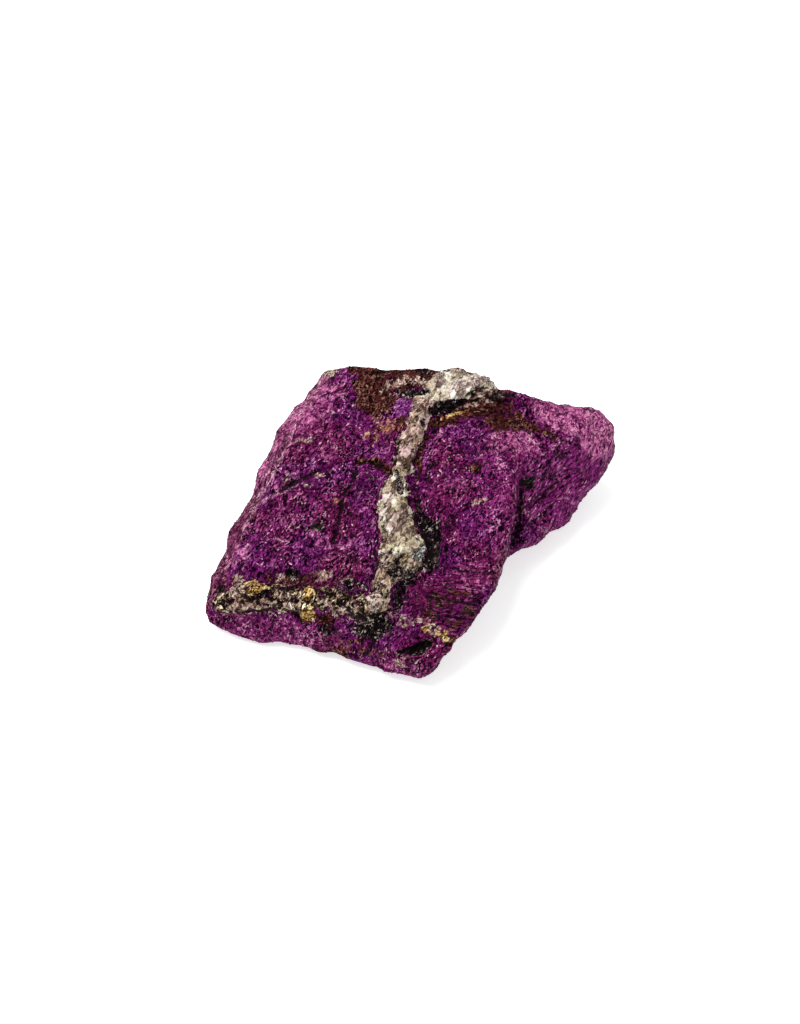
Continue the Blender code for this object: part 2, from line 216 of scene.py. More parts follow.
BRANCH = (
    *ovals(Tone.BEIGE,
        (-19.9, -9.4, 0.95, 1.9, 0.95), (-14.6, -8.0, 0.7, 0.6, 0.9), (-9.3, -7.7, 1.4, 1.0, 0.7),
        (-6.0, -11.8, 1.1, 1.0, 0.8)),
    *ovals(Tone.BLACK,
        (-22.0, -9.5, 0.6, 0.7), (-16.6, -10.2, 0.85, 0.5), (-13.2, -7.5, 0.9, 0.65),
        (-5.6, -9.1, 2.4, 1.1, 0.55), (-3.4, -13.8, 2.4, 1.7), (-8.8, -14.2, 1.4, 0.7, 0.8)),
    *ovals(Tone.OCHRE, (-17.6, -9.1, 1.2, 0.9), (-11.0, -9.9, 0.9, 1.1), (-11.2, -12.4, 0.8, 1.1)),
    *bands(Tone.BEIGE, 1.0,
        ((-20.4, -11.6, 0.5), (-17.7, -11.5, 0.6), (-15.1, -11.1, 0.4)),
        ((-9.8, -11.2, 0.3), (-8.7, -11.2, 0.4), (-7.7, -12.6, 0.3))),
    *bands(Tone.BEIGE, 0.75, ((-14.8, -9.8, 0.4), (-13.8, -10.7, 0.6), (-12.9, -11.6, 0.4))),
    *bands(Tone.BLACK, 1.0, ((-15.8, -9.2, 0.25), (-14.0, -9.3, 0.3), (-12.6, -9.2, 0.25))),
    *ovals(Tone.BROWN,
        (-9.3, -13.0, 1.1, 0.9), (-14.0, -9.6, 8.6, 2.4, 0.6), (-8.0, -8.6, 3.4, 1.8, 0.5)),
)
FRONT = (
    *bands(Tone.BEIGE, 0.56, ((-1.0, -12.6, 0.5), (1.6, -13.6, 0.8), (3.8, -14.4, 0.8), (5.6, -15.4, 0.6))),
    *ovals(Tone.OCHRE, (3.0, -14.3, 0.8, 0.5, 0.8, -30.0), (5.3, -15.2, 0.7, 0.4, 0.8, -30.0)),
    # The wide weak brown oval on the front right is partly a brown stain and partly painted shade that darkens that
    # face.
    *ovals(Tone.BROWN,
        (6.3, -15.6, 0.9, 0.7), (7.3, -10.0, 1.4, 0.45, 0.8, -6.0), (6.2, -12.0, 4.8, 3.0, 0.44, -20.0),
        (-5.0, -16.2, 4.4, 1.4, 0.42, -14.0), (-7.4, -17.4, 2.0, 0.8, 0.7, -10.0)),
    *bands(Tone.BLACK, 1.0, ((0.0, -17.1, 0.4), (1.5, -16.8, 0.8), (3.7, -16.1, 0.5))),
    *ovals(Tone.STREAK, (7.6, -11.6, 6.4, 4.4)),
    # This weak black oval on the front right is partly dark hollows and partly painted shade that darkens that face.
    *ovals(Tone.BLACK, (5.8, -11.0, 5.6, 3.0, 0.2, -10.0)),
    *ovals(Tone.BEIGE, (0.6, -18.2, 1.8, 1.2, 0.42)),
    *ovals(Tone.VIVID, (-16.0, -14.4, 7.4, 1.8, 0.7, -8.0)),
)
BODY = (
    *ovals(Tone.BEIGE,
        (-11.8, 8.5, 1.6, 0.35, 0.6, 8.0), (-13.6, 4.2, 1.1, 0.6, 0.5, 20.0), (-9.5, 4.6, 1.0, 0.6, 0.46, 20.0),
        (-11.4, 3.1, 0.8, 0.5, 0.46), (-12.0, -1.8, 0.9, 0.3, 0.6, 8.0), (9.2, 1.5, 1.3, 0.35, 0.5, 14.0)),
    *ovals(Tone.BLACK, (-10.2, -1.9, 1.1, 0.6, 0.8, 10.0), (-4.2, 3.4, 1.8, 1.6, 0.34)),
    *ovals(Tone.RUST, (-7.7, 1.3, 0.4, 0.5, 0.6)),
    *ovals(Tone.VIVID, (11.8, 1.4, 2.2, 6.4, 0.8)),
    *ovals(Tone.BROWN, (9.4, 5.4, 1.0, 0.8, 0.8, 20.0), (11.0, 4.2, 0.8, 0.4, 0.6)),
    *ovals(Tone.DUST, (7.0, 3.6, 1.8, 0.8, 0.45), (-10.4, 13.0, 2.6, 4.4, 0.5, -34.0)),
    *bands(Tone.DUST, 0.6, ((-9.6, 16.8, 0.8), (-13.6, 11.0, 0.8), (-15.6, 7.4, 0.8), (-18.0, 2.4, 0.6))),
)
LOBE = (
    # The second black oval, weak and tilted, is painted shade on the lobe's front; the first is a black spot.
    *ovals(Tone.BLACK, (15.8, 3.6, 0.8, 0.9, 0.9), (17.4, 2.4, 2.2, 1.0, 0.34, 40.0)),
    *ovals(Tone.BEIGE, (14.9, 0.6, 0.3, 2.4, 0.45)),
    *ovals(Tone.DUST,
        (14.4, 9.2, 3.2, 2.4, 0.6, -20.0), (24.4, 9.8, 2.8, 3.4, 0.9), (21.0, 11.4, 5.4, 1.8, 0.9, -18.0)),
    # The vivid oval on the lobe's front is partly its own bright magenta and partly painted light that lifts a face
    # the key light leaves darker.
    *ovals(Tone.VIVID, (20.0, 3.2, 6.0, 6.4, 1.0, 30.0)),
    *ovals(Tone.STREAK, (19.4, 3.4, 5.4, 5.0, 1.0, 30.0)),
)
WORN_EDGES = (
    *bands(Tone.WORN, 1.0,
        ((-9.6, 16.8, 1.3), (-14.2, 10.6, 1.3), (-17.6, 4.0, 1.5), (-21.0, -4.0, 1.4), (-23.6, -11.0, 1.2)),
        ((13.4, 2.0, 0.9), (12.9, -2.0, 1.1), (12.4, -5.6, 0.9), (11.4, -8.6, 0.6)),
        ((-22.0, -13.8, 1.6), (-14.0, -15.4, 1.9), (-7.5, -16.8, 1.2))),
    *ovals(Tone.WORN,
        (19.8, -1.0, 3.0, 0.9, 0.8, 32.0), (24.4, 9.8, 2.0, 2.6, 0.8), (12.0, 8.0, 3.0, 1.4, 0.6)),
)
STAINS = (*BACK_EDGE, *CREST_FOOT, *VEIN_SIDES, *BRANCH, *FRONT, *BODY, *LOBE, *WORN_EDGES)


def smooth_step(low: float, high: float, values: np.ndarray) -> np.ndarray:
    """0 below low, 1 above high, and an even S between."""
    share = np.clip((values - low) / (high - low), 0.0, 1.0)
    return share * share * (3.0 - 2.0 * share)


def layered_noise(points: np.ndarray, size: float, seed: int, octaves: int = 3) -> np.ndarray:
    """Noise of about -1 to 1 at each point, with its widest lumps of the given size.

    Args:
        points: N x 3 places in millimetres.
        size: the width of the widest lumps, in millimetres.
        seed: shifts the pattern, so that each seed gives another one.
        octaves: how many finer layers are added.

    Returns:
        One value for each point.
    """
    shift = Vector([seed * part for part in NOISE_SHIFT])
    return np.array([noise.fractal(Vector(p) / size + shift, NOISE_FALL, NOISE_GAP, octaves) for p in points])


@dataclass(frozen=True)
class PictureView:
    """The camera, and where points of the stone show in its picture. Sizes are in millimetres."""

    drop: float = math.radians(48.0)
    distance: float = 620.0
    aim: Triple = (-1.460, 1.197, 8.0)
    pixels_per_mm: float = 8.2
    picture_height: int = 1024
    sensor: float = 36.0
    clip: Pair = (0.01, 10.0)

    def sight(self) -> np.ndarray:
        """The direction that the camera looks in."""
        return np.array((0.0, math.cos(self.drop), -math.sin(self.drop)))

    def up(self) -> np.ndarray:
        """The direction that is up in the picture."""
        return np.array((0.0, math.sin(self.drop), math.cos(self.drop)))

    def eye(self) -> np.ndarray:
        """Where the camera stands."""
        return np.array(self.aim) - self.sight() * self.distance

    def seen(self, points: np.ndarray) -> np.ndarray:
        """Where each point shows in the picture.

        Args:
            points: N x 3 places in millimetres.

        Returns:
            N x 2 distances across and up from the picture's middle, in millimetres at the aim.
        """
        rays = points - self.eye()
        scale = self.distance / (rays @ self.sight())
        return np.stack([rays[:, 0], rays @ self.up()], axis=1) * scale[:, None]

    def build(self) -> Object:
        """Makes the camera and hands it to the scene.

        Returns:
            The camera.
        """
        lens = bpy.data.cameras.new("picture camera")
        lens.sensor_width = self.sensor
        lens.lens = self.sensor * self.distance * self.pixels_per_mm / self.picture_height
        lens.clip_start, lens.clip_end = self.clip
        camera = bpy.data.objects.new("picture camera", lens)
        camera.location = Vector(self.eye()) * MM
        camera.rotation_euler = (math.pi / 2 - self.drop, 0.0, 0.0)
        bpy.context.scene.collection.objects.link(camera)
        bpy.context.scene.camera = camera
        return camera


@dataclass
class NodeBench:
    """Adds nodes to one tree and joins them."""

    tree: NodeTree

    def add(self, kind: str, inputs: dict | None = None, **settings: object) -> Node:
        """Adds a node.

        Args:
            kind: the node's type.
            inputs: values or sockets for its inputs, by name or number.
            settings: its own settings.

        Returns:
            The node.
        """
        made = self.tree.nodes.new(kind)
        for name, value in settings.items():
            setattr(made, name, value)
        for socket, value in (inputs or {}).items():
            if isinstance(value, Socket):
                self.tree.links.new(value, made.inputs[socket])
            else:
                made.inputs[socket].default_value = value
        return made

    def sum(self, kind: str, first: object, second: object, clamp: bool = False) -> Socket:
        """The result of one step of arithmetic, in a shader or a geometry tree."""
        return self.add("ShaderNodeMath", {0: first, 1: second}, operation=kind, use_clamp=clamp).outputs[0]

    def times(self, first: object, second: object) -> Socket:
        """Two values multiplied."""
        return self.sum("MULTIPLY", first, second)

    def step(self, value: object, low: float, high: float) -> Socket:
        """0 below low, 1 above high, and an even S between."""
        return self.add("ShaderNodeMapRange", {"Value": value, "From Min": low, "From Max": high},
                        interpolation_type="SMOOTHSTEP").outputs["Result"]

    def spread(self, value: object, given: Pair, wanted: Pair = (0.0, 1.0)) -> Socket:
        """A value carried from one range to another, and held at its ends."""
        return self.add("ShaderNodeMapRange", {"Value": value, "From Min": given[0], "From Max": given[1],
                                               "To Min": wanted[0], "To Max": wanted[1]}).outputs[0]

    def weighed(self, values: tuple[Socket, ...], weights: tuple[float, ...]) -> Socket:
        """A sum of values, each times its own weight.

        Args:
            values: the sockets.
            weights: one number for each.

        Returns:
            The sum.
        """
        total = None
        for value, weight in zip(values, weights):
            share = self.times(value, weight)
            total = share if total is None else self.sum("ADD", total, share)
        return total

    def mix(self, factor: object, first: object, second: object, way: str = "MIX") -> Socket:
        """A blend of two colours."""
        return self.add("ShaderNodeMix", {0: factor, 6: first, 7: second}, data_type="RGBA",
                        blend_type=way).outputs[2]

    def ramp(self, value: Socket, stops: tuple[tuple[float, Triple], ...]) -> Socket:
        """A colour for each value.

        Args:
            value: the socket that is looked up.
            stops: pairs of place and colour, from low to high.

        Returns:
            The colour socket.
        """
        node = self.add("ShaderNodeValToRGB", {0: value})
        elements = node.color_ramp.elements
        while len(elements) < len(stops):
            elements.new(1.0)
        for element, (place, colour) in zip(elements, stops):
            element.position = place
            element.color = (*colour, 1.0)
        return node.outputs[0]

    def noise(self, place: object, size: float, detail: float = 2.0, rough: float = 0.6) -> Socket:
        """Noise whose widest lumps have the given size."""
        return self.add("ShaderNodeTexNoise", {
            "Vector": place, "Scale": 1.0 / size, "Detail": detail, "Roughness": rough}).outputs[0]

    def facets(self, place: object, size: float) -> Socket:
        """The height of flat facets, each tilted its own way.

        Args:
            place: the place, in millimetres.
            size: how wide a facet is, in millimetres.

        Returns:
            The height, about 0.
        """
        cells = self.cells(place, size)
        off = self.add("ShaderNodeVectorMath", {0: place, 1: cells.outputs["Position"]}, operation="SUBTRACT")
        lean = self.add("ShaderNodeVectorMath", {0: cells.outputs["Color"], 1: (0.5,) * 3}, operation="SUBTRACT")
        return self.add("ShaderNodeVectorMath", {0: off.outputs[0], 1: lean.outputs[0]},
                        operation="DOT_PRODUCT").outputs["Value"]

    def cells(self, place: object, size: float, feature: str = "F1") -> Node:
        """Cells of about the given size."""
        return self.add("ShaderNodeTexVoronoi", {"Vector": place, "Scale": 1.0 / size}, feature=feature)

    def chance(self, place: object, size: float) -> Socket:
        """A value from 0 to 1 for each cell, the same all over the cell."""
        return self.add("ShaderNodeSeparateColor", {0: self.cells(place, size).outputs["Color"]}).outputs[0]

    def drawn_out(self, place: object, turn: Triple, times: float) -> Socket:
        """The place, so measured that cells come out longer one way: the X axis after the turn."""
        return self.add("ShaderNodeMapping", {"Vector": place, "Rotation": turn, "Scale": (times, 1.0, 1.0)},
                        vector_type="TEXTURE").outputs[0]

    def stored(self, tone: Tone) -> Socket:
        """A tone's strength, in a geometry tree."""
        return self.add("GeometryNodeInputNamedAttribute", {"Name": tone.value}, data_type="FLOAT").outputs[0]


@dataclass(frozen=True)
class Paint:
    """One mineral's shades, from its pits to painted glints on its brightest grains, and how ragged its border is."""

    deep: Triple
    middle: Triple
    light: Triple
    # The brightest stop is a painted glint: colour standing for grains that catch the light.
    painted_glint: Triple
    border: Pair = (0.35, 0.6)
    raggedness: float = 1.0


@dataclass
class StoneBench(NodeBench):
    """A bench with the patterns that the stone's colour and bump are worked out from."""

    tone: dict[Tone, Socket]
    place: Socket
    stirred: Socket
    grain: Socket
    knots: Socket
    speck: Socket
    coarse: Socket
    ragged: Socket
    fray: Socket


@dataclass(frozen=True)
class StoneFinish:
    """Sugary violet phosphate with its stains, its crust and the pale vein. Sizes are in millimetres."""

    violet: Paint = Paint((0.002, 0.0001, 0.0015), (0.089, 0.0025, 0.052), (0.220, 0.021, 0.142), (0.45, 0.150, 0.29))
    vivid: Paint = Paint((0.004, 0.0002, 0.003), (0.160, 0.0065, 0.100), (0.345, 0.045, 0.235), (0.64, 0.30, 0.47))
    worn: Paint = Paint(
        (0.014, 0.0005, 0.006), (0.112, 0.0120, 0.056), (0.205, 0.040, 0.105), (0.38, 0.16, 0.23), (0.25, 0.9), 0.8)
    bright: Paint = Paint(
        (0.03, 0.001, 0.03), (0.15, 0.014, 0.135), (0.34, 0.08, 0.32), (0.66, 0.36, 0.60), (0.35, 0.8), 1.2)
    dust: Paint = Paint(
        (0.110, 0.010, 0.065), (0.46, 0.090, 0.270), (0.70, 0.215, 0.440), (0.78, 0.42, 0.54), (0.15, 1.0), 0.75)
    brown: Paint = Paint(
        (0.002, 0.0005, 0.0004), (0.036, 0.0065, 0.006), (0.110, 0.026, 0.022), (0.32, 0.16, 0.11), (0.35, 0.65), 0.9)
    rust: Paint = Paint(
        (0.02, 0.003, 0.002), (0.15, 0.038, 0.025), (0.36, 0.145, 0.09), (0.66, 0.44, 0.30), (0.3, 0.8), 1.4)
    beige: Paint = Paint(
        (0.070, 0.030, 0.024), (0.27, 0.150, 0.12), (0.47, 0.34, 0.28), (0.88, 0.80, 0.68), (0.35, 0.75), 1.1)
    ochre: Paint = Paint(
        (0.025, 0.007, 0.001), (0.28, 0.120, 0.020), (0.80, 0.56, 0.22), (0.99, 0.95, 0.75), (0.35, 0.65), 1.0)
    crust: Paint = Paint(
        (0.001, 0.0004, 0.0003), (0.018, 0.007, 0.005), (0.27, 0.170, 0.105), (0.90, 0.78, 0.56), (0.3, 0.55), 1.3)
    black: Paint = Paint(
        (0.0005, 0.0004, 0.0004), (0.003, 0.0015, 0.002), (0.040, 0.021, 0.025), (0.46, 0.38, 0.33), (0.38, 0.6), 0.9)
    quartz: Paint = Paint(
        (0.02, 0.02, 0.02), (0.17, 0.17, 0.16), (0.42, 0.42, 0.39), (0.92, 0.92, 0.88), (0.4, 0.55), 0.3)
    vein: Paint = Paint(
        (0.085, 0.052, 0.034), (0.40, 0.305, 0.215), (0.76, 0.67, 0.53), (0.99, 0.98, 0.92), (0.42, 0.54), 0.7)
    pale: Paint = Paint((0.160, 0.105, 0.098), (0.56, 0.455, 0.405), (0.86, 0.79, 0.74), (0.99, 0.98, 0.97))
    rim: Paint = Paint((0.10, 0.02, 0.05), (0.34, 0.12, 0.20), (0.60, 0.32, 0.42), (0.84, 0.62, 0.66))
    seam: Colour = (0.006, 0.003, 0.003, 1.0)
    # The colour of the painted glints, rare bright specks that stand for grains catching the light.
    painted_sparkle: Colour = (0.80, 0.50, 0.55, 1.0)
    cool: Colour = (0.94, 0.86, 1.16, 1.0)
    warm: Colour = (1.06, 1.08, 0.92, 1.0)
    blush: Colour = (0.90, 0.76, 0.84, 1.0)
    vein_tints: tuple[tuple[float, Triple], ...] = (
        (0.38, (1.02, 0.90, 0.96)), (0.48, (1.02, 1.0, 1.0)), (0.58, (1.0, 1.0, 0.82)), (0.68, (0.92, 0.95, 1.0)))
    stops: tuple[float, ...] = (0.30, 0.50, 0.73, 0.94)
    # Each is a turn of the X axis, and how many times longer the cells come out along it.
    sliver: tuple[Triple, float] = ((0.0, -0.62, 0.91), 1.6)
    bed: tuple[Triple, float] = ((0.0, 0.05, -0.06), 3.2)
    comb: tuple[Triple, float] = ((0.0, -0.49, 0.64), 2.4)
    lobe_start: Pair = (12.0, 14.0)
    streak_share: float = 0.8
    cleavage: float = 0.16
    block: float = 0.38
    knot: float = 1.1
    knot_range: Pair = (0.3, 0.7)
    swirl: float = 0.7
    swirl_size: float = 0.55
    # Shares of chips, blocks, knots and the block's own tint.
    speck_shares: tuple[float, ...] = (0.64, 0.18, 0.18, 0.12)
    coarse_shares: tuple[float, ...] = (0.48, 0.52, 0.20, 0.15)
    coarse_drop: float = 0.1
    calm: float = 3.2
    calm_range: Pair = (0.36, 0.64)
    contrast: Pair = (0.8, 1.35)
    border_shares: Pair = (0.5, 2.2)
    fray: float = 0.5
    fray_share: float = 0.8
    line_edge: Pair = (-0.05, 0.02)
    drift: float = 5.0
    hue_range: Pair = (0.40, 0.62)
    painted_sparkle_size: float = 0.15
    rarity: Pair = (0.955, 0.975)
    painted_sparkle_places: Pair = (0.5, 0.58)
    most_painted_sparkle: float = 0.9
    # Each is a cell size, a line width and the noise from which the cracks show.
    cracks: tuple[Triple, ...] = ((2.0, 0.040, 0.49), (0.85, 0.075, 0.53))
    crack_share: float = 0.85
    crack_core: float = 0.2
    crack_gap_size: float = 0.9
    crack_gap_fade: float = 0.07
    cover_start: Pair = (0.02, 0.2)
    rim_share: float = 0.6
    seam_share: float = 0.92
    vein_chunk: float = 0.95
    vein_fleck: float = 0.30
    # Shares of chunks, flecks, specks and the grain's own tint.
    vein_shares: tuple[float, ...] = (0.46, 0.36, 0.24, 0.2)
    vein_drop: float = 0.01
    vein_tint_size: float = 2.6
    joint: Pair = (0.02, 0.11)
    joint_gaps: Pair = (0.44, 0.56)
    joint_gap_size: float = 1.4
    joint_shade: float = 0.3
    specular: float = 0.03
    gloss_range: Pair = (0.2, 0.9)
    roughness: Pair = (0.85, 0.4)
    fine_facet: float = 0.3
    # Shares of specks, knots, fine facets and wide facets.
    bump_shares: tuple[float, ...] = (0.2, 0.6, 2.6, 1.2)
    bump_strength: float = 0.9
    bump_height: float = 0.16

    def build(self) -> Material:
        """Makes the material.

        Returns:
            The material, which reads the tones from the mesh's attributes.
        """
        material = bpy.data.materials.new("violet stone")
        material.use_nodes = True
        shader = material.node_tree.nodes["Principled BSDF"]
        bench = self.patterns(NodeBench(material.node_tree))
        colour = self.veined(bench, self.stained(bench, self.ground(bench)))
        bench.tree.links.new(colour, shader.inputs["Base Color"])
        rough = bench.spread(bench.speck, self.gloss_range, self.roughness)
        bench.tree.links.new(rough, shader.inputs["Roughness"])
        shader.inputs["Specular IOR Level"].default_value = self.specular
        fine = bench.facets(bench.stirred, self.fine_facet)
        wide = bench.facets(bench.stirred, self.vein_chunk)
        bump = bench.add("ShaderNodeBump", {
            "Strength": self.bump_strength, "Distance": self.bump_height * MM,
            "Height": bench.weighed((bench.speck, bench.knots, fine, wide), self.bump_shares)})
        bench.tree.links.new(bump.outputs[0], shader.inputs["Normal"])
        return material

    def patterns(self, bench: NodeBench) -> StoneBench:
        """Makes the patterns, in the stone's own coordinates.

        Args:
            bench: the tree.

        Returns:
            The same tree's bench, with the patterns.
        """
        place = bench.add("ShaderNodeMapping", {
            "Vector": bench.add("ShaderNodeTexCoord").outputs["Object"], "Scale": (1 / MM,) * 3}).outputs[0]
        tone = {t: bench.add("ShaderNodeAttribute", attribute_name=t.value).outputs["Fac"] for t in Tone}
        grain = bench.add("ShaderNodeAttribute", attribute_name=GRAIN).outputs["Fac"]
        stirred = self.stirred(bench, bench.drawn_out(place, *self.sliver))
        lobe = bench.step(bench.add("ShaderNodeSeparateXYZ", {0: place}).outputs["X"], *self.lobe_start)
        lined = bench.add("ShaderNodeMix", {
            0: lobe, 4: bench.drawn_out(place, *self.bed), 5: bench.drawn_out(place, *self.comb)},
            data_type="VECTOR").outputs[1]
        chips = bench.add("ShaderNodeMix", {
            0: bench.times(tone[Tone.STREAK], self.streak_share),
            2: bench.chance(stirred, self.cleavage), 3: bench.chance(lined, self.cleavage)}).outputs[0]
        blocks = bench.chance(stirred, self.block)
        knots = bench.noise(place, self.knot, detail=3.0, rough=0.65)
        parts = (chips, blocks, bench.spread(knots, self.knot_range), grain)
        contrast = bench.spread(bench.noise(place, self.calm, rough=0.5), self.calm_range, self.contrast)
        speck = bench.sum("SUBTRACT", bench.weighed(parts, self.speck_shares), 0.5)
        speck = bench.add("ShaderNodeMath", {0: speck, 1: contrast, 2: 0.5}, operation="MULTIPLY_ADD").outputs[0]
        coarse = bench.sum("SUBTRACT", bench.weighed(parts, self.coarse_shares), self.coarse_drop)
        ragged = bench.weighed(
            (bench.sum("SUBTRACT", blocks, 0.5), bench.sum("SUBTRACT", knots, 0.5)), self.border_shares)
        fray = bench.sum("SUBTRACT", bench.noise(place, self.fray), 0.5)
        return StoneBench(bench.tree, tone, place, stirred, grain, knots, speck, coarse, ragged, fray)

    def ground(self, bench: StoneBench) -> Socket:
        """The violet itself, in two hues, with its worn edges, its vivid parts and its painted glints.

        Args:
            bench: the tree.

        Returns:
            The colour.
        """
        hue = bench.step(bench.noise(bench.place, self.drift, rough=0.5), *self.hue_range)
        colour = bench.mix(1.0, self.shades(bench, bench.speck, self.violet), bench.mix(hue, self.cool, self.warm),
                           "MULTIPLY")
        colour = self.laid(bench, colour, Tone.WORN)
        colour = bench.mix(bench.tone[Tone.VIVID], colour, self.shades(bench, bench.speck, self.vivid))
        # Painted glints: rare cells painted bright, as if they caught the light, fewer on the worn parts.
        painted_sparks = bench.step(bench.chance(bench.stirred, self.painted_sparkle_size), *self.rarity)
        places = bench.step(bench.noise(bench.place, self.knot), *self.painted_sparkle_places)
        painted_sparks = bench.times(bench.times(painted_sparks, places),
                           bench.sum("SUBTRACT", self.most_painted_sparkle, bench.tone[Tone.WORN], clamp=True))
        return bench.mix(painted_sparks, colour, self.painted_sparkle)

    def stained(self, bench: StoneBench, colour: Socket) -> Socket:
        """The violet with its stains, its crust, its pale rims and its natural cracks.

        Args:
            bench: the tree.
            colour: the colour under them.

        Returns:
            The colour.
        """
        colour = self.laid(bench, colour, Tone.BRIGHT, Tone.DUST, Tone.BROWN, Tone.RUST, Tone.CRUST,
                           Tone.BEIGE, Tone.OCHRE)
        rims = bench.times(self.line(bench, Tone.RIM), self.rim_share)
        colour = bench.mix(rims, colour, self.shades(bench, bench.speck, self.rim))
        for size, width, least in self.cracks:
            cracked = bench.cells(bench.stirred, size, "DISTANCE_TO_EDGE").outputs["Distance"]
            here = bench.noise(bench.place, self.crack_gap_size * size)
            here = bench.step(here, least, least + self.crack_gap_fade)
            cracked = bench.times(bench.step(cracked, width, self.crack_core * width), here)
            colour = bench.mix(bench.times(cracked, self.crack_share), colour, self.seam)
        return colour

    def veined(self, bench: StoneBench, colour: Socket) -> Socket:
        """The stained stone with its vein, its black hollows, its quartz and its dark seams.

        Args:
            bench: the tree.
            colour: the colour under them.

        Returns:
            The colour.
        """
        colour = bench.mix(self.cover(bench, Tone.VEIN), colour, self.vein_colour(bench))
        colour = self.laid(bench, colour, Tone.BLACK, Tone.QUARTZ)
        seams = bench.times(self.line(bench, Tone.SEAM), self.seam_share)
        return bench.mix(seams, colour, self.seam)

    def vein_colour(self, bench: StoneBench) -> Socket:
        """The pale vein: chunks that differ in lightness and tint, with dark joints between some of them.

        Args:
            bench: the tree.

        Returns:
            The vein's colour.
        """
        chunk = bench.chance(bench.stirred, self.vein_chunk)
        fleck = bench.chance(bench.stirred, self.vein_fleck)
        light = bench.weighed((chunk, fleck, bench.speck, bench.grain), self.vein_shares)
        light = bench.sum("SUBTRACT", light, self.vein_drop)
        colour = bench.mix(bench.tone[Tone.PALE], self.shades(bench, light, self.vein),
                           self.shades(bench, light, self.pale))
        colour = bench.mix(1.0, colour, bench.mix(bench.tone[Tone.BLUSH], WHITE, self.blush), "MULTIPLY")
        tint = bench.ramp(bench.noise(bench.place, self.vein_tint_size), self.vein_tints)
        joints = bench.cells(bench.stirred, self.vein_chunk, "DISTANCE_TO_EDGE").outputs["Distance"]
        gaps = bench.noise(bench.place, self.joint_gap_size)
        clear = bench.sum("MAXIMUM", bench.step(joints, *self.joint), bench.step(gaps, *self.joint_gaps))
        shade = bench.spread(clear, (0.0, 1.0), (self.joint_shade, 1.0))
        grey = bench.add("ShaderNodeCombineColor", {0: shade, 1: shade, 2: shade}).outputs[0]
        return bench.mix(1.0, bench.mix(1.0, colour, tint, "MULTIPLY"), grey, "MULTIPLY")

    def stirred(self, bench: NodeBench, place: Socket) -> Socket:
        """The place, pushed about by noise, so that cells read as wisps and slivers."""
        push = bench.add("ShaderNodeTexNoise", {
            "Vector": place, "Scale": 1.0 / self.swirl_size, "Detail": 1.0, "Roughness": 0.5}).outputs["Color"]
        return bench.add("ShaderNodeVectorMath", {0: push, 1: (self.swirl,) * 3, 2: place},
                         operation="MULTIPLY_ADD").outputs[0]

    def line(self, bench: StoneBench, tone: Tone) -> Socket:
        """1 inside thin frayed lines of one tone, and 0 outside them."""
        frayed = bench.sum("ADD", bench.tone[tone], bench.times(bench.fray, self.fray_share))
        return bench.step(frayed, *self.line_edge)

    def shades(self, bench: NodeBench, speck: Socket, paint: Paint) -> Socket:
        """A mineral's colour, from its pits to its painted glints."""
        colours = (paint.deep, paint.middle, paint.light, paint.painted_glint)
        return bench.ramp(speck, tuple(zip(self.stops, colours)))

    def paint(self, tone: Tone) -> Paint:
        """The mineral that a tone stands for."""
        return getattr(self, tone.value)

    def cover(self, bench: StoneBench, tone: Tone) -> Socket:
        """How much of a place a mineral covers, from 0 to 1.

        Args:
            bench: the tree.
            tone: the mineral's tone.

        Returns:
            The share.
        """
        strength, paint = bench.tone[tone], self.paint(tone)
        raw = bench.sum("ADD", strength, bench.times(bench.ragged, paint.raggedness))
        return bench.times(bench.step(raw, *paint.border), bench.step(strength, *self.cover_start))

    def laid(self, bench: StoneBench, colour: Socket, *tones: Tone) -> Socket:
        """A colour with minerals laid over it, one after the other.

        Args:
            bench: the tree.
            colour: the colour under them.
            tones: the minerals' tones, from the lowest up.

        Returns:
            The colour.
        """
        for tone in tones:
            speck = bench.coarse if tone in COARSE_TONES else bench.speck
            colour = bench.mix(self.cover(bench, tone), colour, self.shades(bench, speck, self.paint(tone)))
        return colour


def plain_mesh(obj: Object) -> Mesh:
    """The evaluated mesh of an object, as a mesh of its own."""
    graph = bpy.context.evaluated_depsgraph_get()
    return bpy.data.meshes.new_from_object(obj.evaluated_get(graph), depsgraph=graph)


def start_tree(name: str, sizes: dict[str, float]) -> tuple[NodeBench, NodeOutputs, Node]:
    """Starts a geometry tree with named inputs.

    Args:
        name: the tree's name.
        sizes: the number inputs with their values.

    Returns:
        The bench, the inputs' sockets and the output node.
    """
    tree = bpy.data.node_groups.new(name, "GeometryNodeTree")
    face = tree.interface
    face.new_socket("Geometry", in_out="INPUT", socket_type="NodeSocketGeometry")
    for label, value in sizes.items():
        face.new_socket(label, in_out="INPUT", socket_type="NodeSocketFloat").default_value = value
    face.new_socket("Finish", in_out="INPUT", socket_type="NodeSocketMaterial")
    face.new_socket("Geometry", in_out="OUTPUT", socket_type="NodeSocketGeometry")
    bench = NodeBench(tree)
    return bench, bench.add("NodeGroupInput").outputs, bench.add("NodeGroupOutput")


def run_tree(obj: Object, tree: NodeTree, sizes: dict[str, float],
             finish: Material) -> Mesh:
    """Runs a geometry tree on an object.

    Args:
        obj: what the tree is put on, and taken off again.
        tree: the tree.
        sizes: values for its number inputs, by name.
        finish: the material that it sets.

    Returns:
        The plain mesh that it makes.
    """
    modifier = obj.modifiers.new(tree.name, "NODES")
    modifier.node_group = tree
    for item in tree.interface.items_tree:
        if item.item_type == "SOCKET" and item.in_out == "INPUT":
            value = finish if item.name == "Finish" else sizes.get(item.name)
            if value is not None:
                modifier[item.identifier] = value
    made = plain_mesh(obj)
    obj.modifiers.remove(modifier)
    return made


